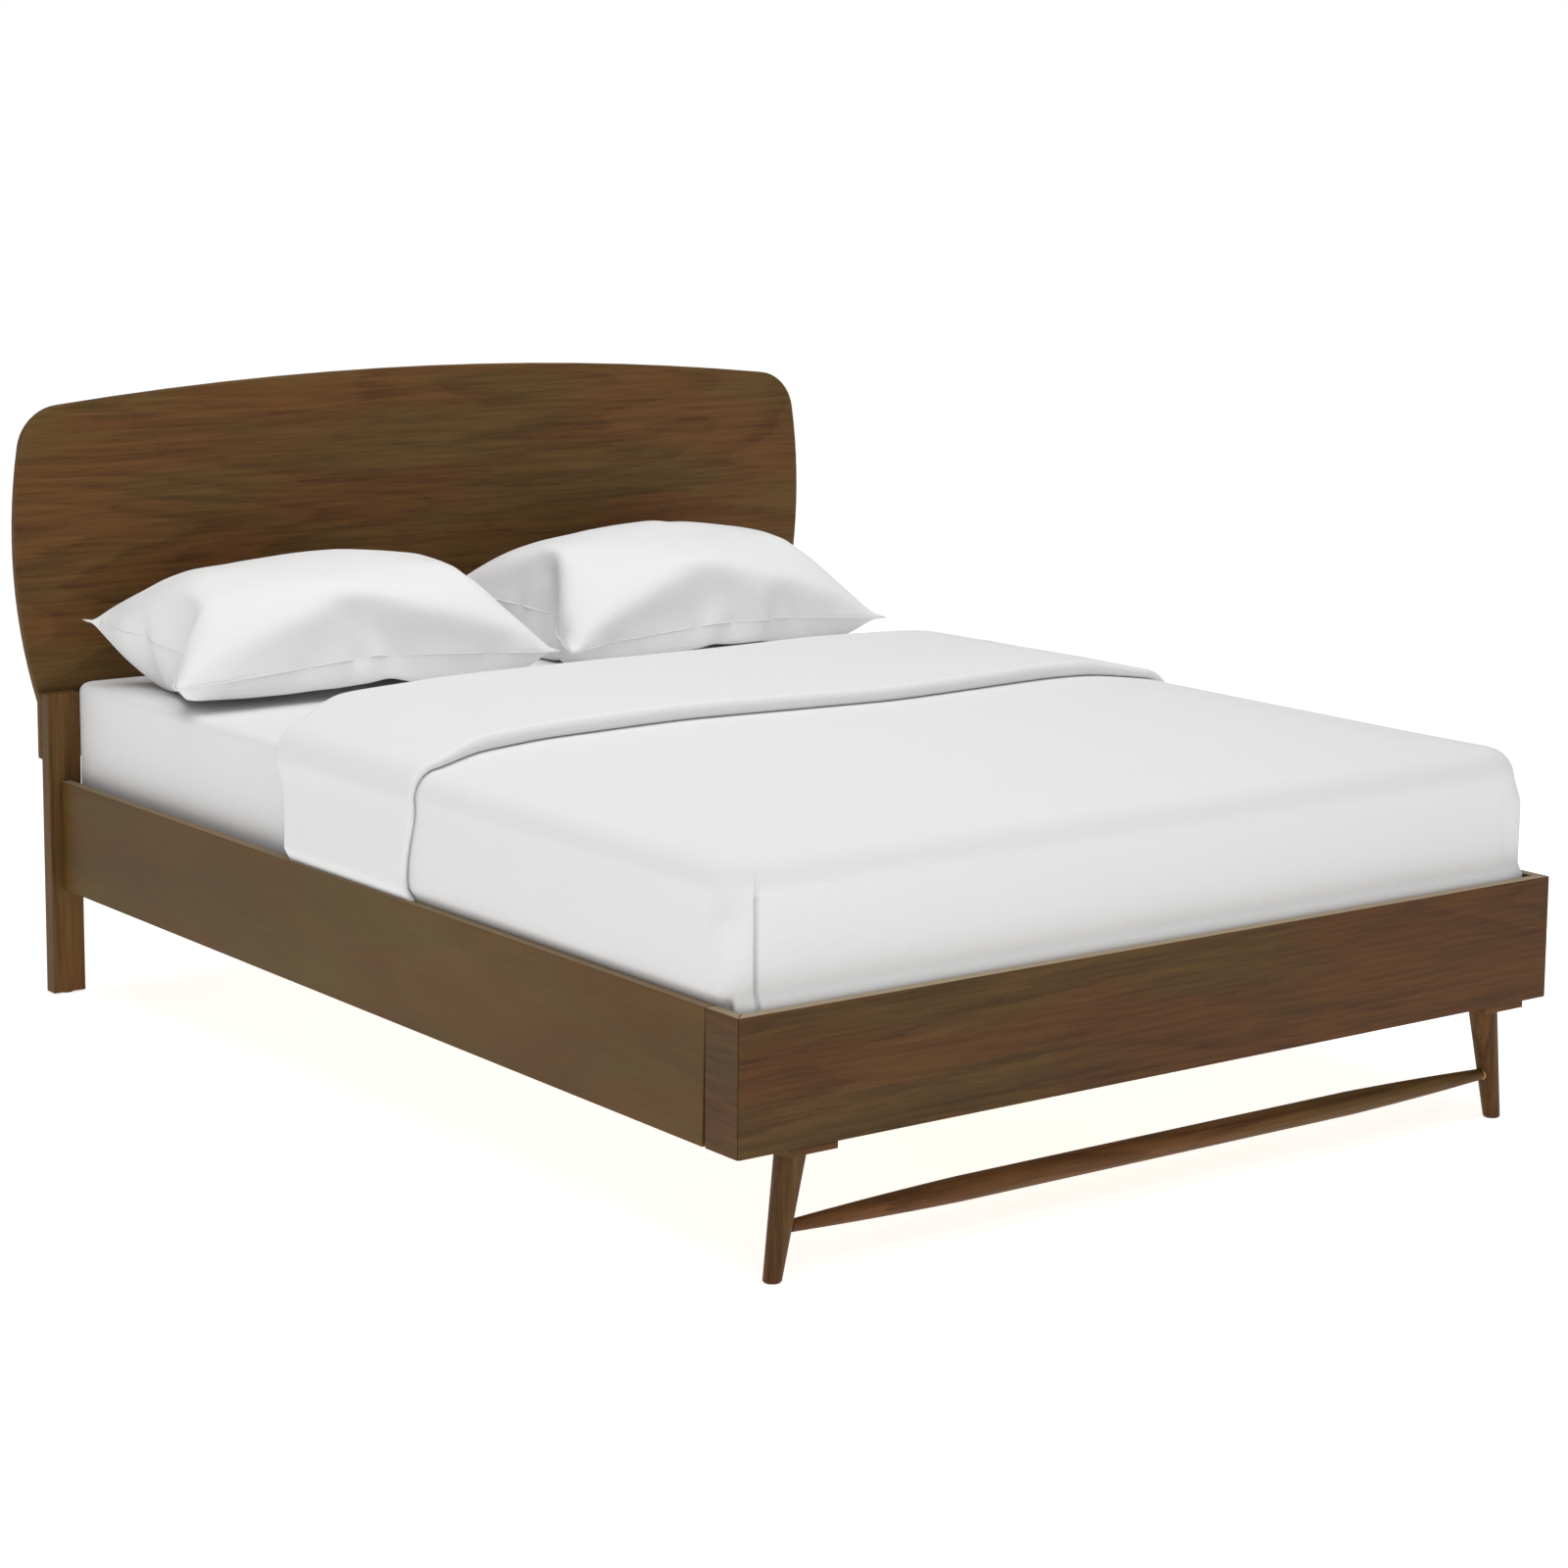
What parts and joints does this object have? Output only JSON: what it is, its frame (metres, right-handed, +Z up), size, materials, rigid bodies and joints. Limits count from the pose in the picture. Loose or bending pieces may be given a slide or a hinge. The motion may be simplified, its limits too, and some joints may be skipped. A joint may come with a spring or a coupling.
{
  "type": "platform bed",
  "caption": "Queen-size walnut platform bed with a rounded headboard panel, plain rails, splayed tapered front legs joined by a stretcher, slats, mattress and white bedding.",
  "frame": {"origin": "centre of the bed's plan, on the floor", "axes": "+Z up, -Y towards the foot, +Y towards the headboard, X across the bed"},
  "size_m": [1.728, 2.1182, 1.102],
  "materials": {
    "walnut_veneer": "satin walnut-stained oak veneer, long grain along the board",
    "walnut_rail": "satin walnut stain with a faint olive cast and soft upright bands",
    "walnut_solid": "satin walnut-stained hardwood, grain along the leg",
    "slat_pine": "bare planed softwood",
    "black_steel": "black powder coat",
    "brown_felt": "pressed felt",
    "black_plastic": "moulded nylon",
    "strap_web": "woven webbing",
    "mattress_tick": "quilted ticking",
    "sheet_cotton": "smooth white cotton",
    "duvet_cotton": "smooth white cotton, lightly filled",
    "pillow_cotton": "white cotton pillowcase"
  },
  "bodies": {
    "bed": {"beam_hanger_foot": "black_steel", "beam_hanger_head": "black_steel", "center_beam": "slat_pine", "center_leg_1": "slat_pine", "center_leg_2": "slat_pine", "center_leg_3": "slat_pine", "corner_block_left": "slat_pine", "corner_block_right": "slat_pine", "duvet": "duvet_cotton", "fitted_sheet": "sheet_cotton", "footboard": "walnut_veneer", "footboard_return_left": "walnut_veneer", "footboard_return_right": "walnut_veneer", "front_glide_left": "brown_felt", "front_glide_right": "brown_felt", "front_leg_left": "walnut_solid", "front_leg_right": "walnut_solid", "head_rail": "walnut_solid", "headboard_bolt_left_lower": "black_steel", "headboard_bolt_left_upper": "black_steel", "headboard_bolt_right_lower": "black_steel", "headboard_bolt_right_upper": "black_steel", "headboard_glide_left": "brown_felt", "headboard_glide_right": "brown_felt", "headboard_leg_left": "walnut_solid", "headboard_leg_right": "walnut_solid", "headboard_panel": "walnut_veneer", "leg_plate_left": "walnut_solid", "leg_plate_right": "walnut_solid", "mattress": "mattress_tick", "pillow_left": "pillow_cotton", "pillow_right": "pillow_cotton", "rail_bracket_foot_left": "black_steel", "rail_bracket_foot_right": "black_steel", "rail_bracket_head_left": "black_steel", "rail_bracket_head_right": "black_steel", "side_rail_left": "walnut_rail", "side_rail_right": "walnut_rail", "slat_01": "slat_pine", "slat_02": "slat_pine", "slat_03": "slat_pine", "slat_04": "slat_pine", "slat_05": "slat_pine", "slat_06": "slat_pine", "slat_07": "slat_pine", "slat_08": "slat_pine", "slat_09": "slat_pine", "slat_10": "slat_pine", "slat_11": "slat_pine", "slat_12": "slat_pine", "slat_13": "slat_pine", "slat_cleat_left": "slat_pine", "slat_cleat_right": "slat_pine", "slat_strap_left": "strap_web", "slat_strap_right": "strap_web", "stretcher": "walnut_solid"},
    "levelling_foot_1": {"levelling_foot_1": "black_plastic"},
    "levelling_foot_2": {"levelling_foot_2": "black_plastic"},
    "levelling_foot_3": {"levelling_foot_3": "black_plastic"}
  },
  "joints": [
    {"name": "levelling_foot_1_screw", "type": "slide", "parent": "bed", "child": "levelling_foot_1", "axis": [0, 0, -1], "range_m": [0, 0.015]},
    {"name": "levelling_foot_2_screw", "type": "slide", "parent": "bed", "child": "levelling_foot_2", "axis": [0, 0, -1], "range_m": [0, 0.015]},
    {"name": "levelling_foot_3_screw", "type": "slide", "parent": "bed", "child": "levelling_foot_3", "axis": [0, 0, -1], "range_m": [0, 0.015]}
  ]
}
